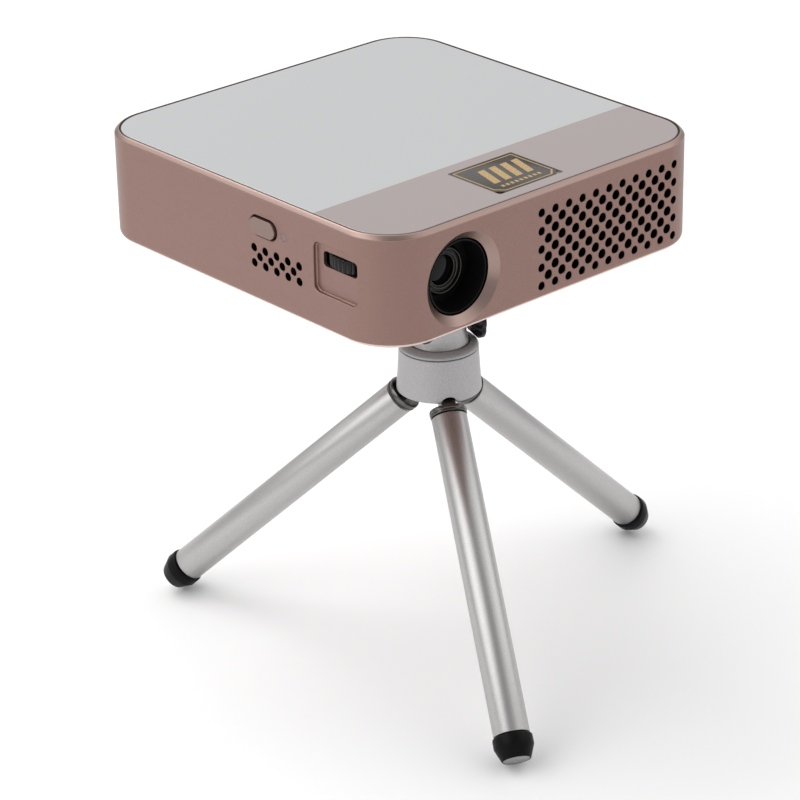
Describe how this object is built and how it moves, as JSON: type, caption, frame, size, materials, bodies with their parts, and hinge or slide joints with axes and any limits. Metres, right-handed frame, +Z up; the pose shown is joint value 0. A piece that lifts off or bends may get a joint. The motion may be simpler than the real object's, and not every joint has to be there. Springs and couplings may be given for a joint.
{
  "type": "home projector",
  "caption": "Pocket projector with a rounded square metal case, glass top and round front lens, standing on a folding mini tripod with a ball head.",
  "frame": {"origin": "middle of the whole object's footprint, at the level of the floor that the feet stand on", "axes": "-Y is the way the lens looks, -X the side with the controls, +Z up"},
  "size_m": [0.1552, 0.1632, 0.1584],
  "materials": {
    "rose_gold": "fine-grain rose-gold anodised",
    "white_glass": "glossy, white-backed",
    "badge": "dark with fine gold pattern",
    "black_plastic": "matt black",
    "black_rubber": "matt black",
    "lens_glass": "coated optical glass",
    "satin_aluminium": "satin",
    "dark_steel": "polished dark",
    "steel": "plain",
    "brass": "machined",
    "cast_alloy": "cast",
    "board_green": "circuit board",
    "battery_wrap": "shrink wrap",
    "nylon": "natural nylon",
    "light_pipe": "clear grey"
  },
  "bodies": {
    "tripod_hub": {"hub": "satin_aluminium", "collar_ring": "satin_aluminium", "centre_screw": "steel", "leg_pin_1": "steel", "leg_pin_2": "steel", "leg_pin_3": "steel"},
    "leg_1": {"leg_plug_1": "dark_steel", "leg_tube_1": "satin_aluminium", "leg_foot_1": "black_rubber"},
    "leg_2": {"leg_plug_2": "dark_steel", "leg_tube_2": "satin_aluminium", "leg_foot_2": "black_rubber"},
    "leg_3": {"leg_plug_3": "dark_steel", "leg_tube_3": "satin_aluminium", "leg_foot_3": "black_rubber"},
    "head": {"neck": "satin_aluminium", "friction_cup": "nylon"},
    "clamp": {"clamp_knob": "black_plastic", "clamp_screw": "steel"},
    "ball": {"ball_stem": "steel", "mount_plate": "satin_aluminium", "plate_pad": "black_rubber"},
    "focus": {"focus_wheel": "black_rubber"},
    "focus_barrel": {"lens_barrel": "black_plastic", "front_lens": "lens_glass", "rear_lens": "lens_glass"},
    "button": {"power_button": "rose_gold"},
    "fan": {"fan_rotor": "black_plastic"},
    "projector": {"case": "rose_gold", "bottom_cover": "rose_gold", "top_glass": "white_glass", "badge_plate": "badge", "lens_tunnel": "black_plastic", "power_switch": "black_plastic", "dc_inlet": "black_plastic", "audio_jack": "black_plastic", "fan_housing": "black_plastic", "speaker": "black_plastic", "vent_screen": "black_plastic", "base_pad_1": "black_rubber", "base_pad_2": "black_rubber", "base_pad_3": "black_rubber", "base_pad_4": "black_rubber", "heat_sink": "satin_aluminium", "bottom_screw_1": "dark_steel", "bottom_screw_2": "dark_steel", "bottom_screw_3": "dark_steel", "bottom_screw_4": "dark_steel", "focus_axle": "steel", "hdmi_port": "steel", "usb_port": "steel", "tripod_nut": "brass", "lens_mount": "cast_alloy", "light_engine": "cast_alloy", "main_board": "board_green", "battery": "battery_wrap", "status_light": "light_pipe"}
  },
  "joints": [
    {"name": "leg_1_fold", "type": "hinge", "parent": "tripod_hub", "child": "leg_1", "pos_m": [-0.01779, -0.00687, 0.0815], "axis": [0.8755, -0.4833, 0], "range_deg": [0, 46]},
    {"name": "leg_2_fold", "type": "hinge", "parent": "tripod_hub", "child": "leg_2", "pos_m": [-0.00696, -0.00034, 0.0815], "axis": [-0.0192, 0.9998, 0], "range_deg": [0, 46]},
    {"name": "leg_3_fold", "type": "hinge", "parent": "tripod_hub", "child": "leg_3", "pos_m": [-0.01803, 0.00578, 0.0815], "axis": [-0.8563, -0.5165, 0], "range_deg": [0, 46]},
    {"name": "head_pan", "type": "hinge", "parent": "tripod_hub", "child": "head", "pos_m": [-0.01426, -0.00047, 0.0925], "axis": [0, 0, 1], "continuous": true},
    {"name": "clamp_turn", "type": "hinge", "parent": "head", "child": "clamp", "pos_m": [-0.01426, -0.00047, 0.1012], "axis": [0.9063, -0.4226, 0], "range_deg": [0, 360]},
    {"name": "ball_tilt", "type": "hinge", "parent": "head", "child": "ball", "pos_m": [-0.01426, -0.00047, 0.1012], "axis": [0.2588, -0.9659, 0], "range_deg": [-25, 60]},
    {"name": "projector_turn", "type": "hinge", "parent": "ball", "child": "projector", "pos_m": [-0.01426, -0.00047, 0.1249], "axis": [0, 0, 1], "range_deg": [-180, 180]},
    {"name": "focus_turn", "type": "hinge", "parent": "projector", "child": "focus", "pos_m": [-0.06586, -0.02838, 0.14675], "axis": [0, 0, 1], "range_deg": [-35, 35]},
    {"name": "focus_slide", "type": "slide", "parent": "projector", "child": "focus_barrel", "axis": [0, 1, 0], "range_m": [-0.00122, 0.00122]},
    {"name": "button_press", "type": "slide", "parent": "projector", "child": "button", "axis": [1, 0, 0], "range_m": [0, 0.0006], "stiffness_N_per_m": 500},
    {"name": "fan_spin", "type": "hinge", "parent": "projector", "child": "fan", "pos_m": [0.01714, -0.00347, 0.1321], "axis": [0, 0, 1], "continuous": true}
  ],
  "couplings": [
    {"joint": "focus_turn", "follows": "focus_slide", "rad_per_m": 500}
  ]
}
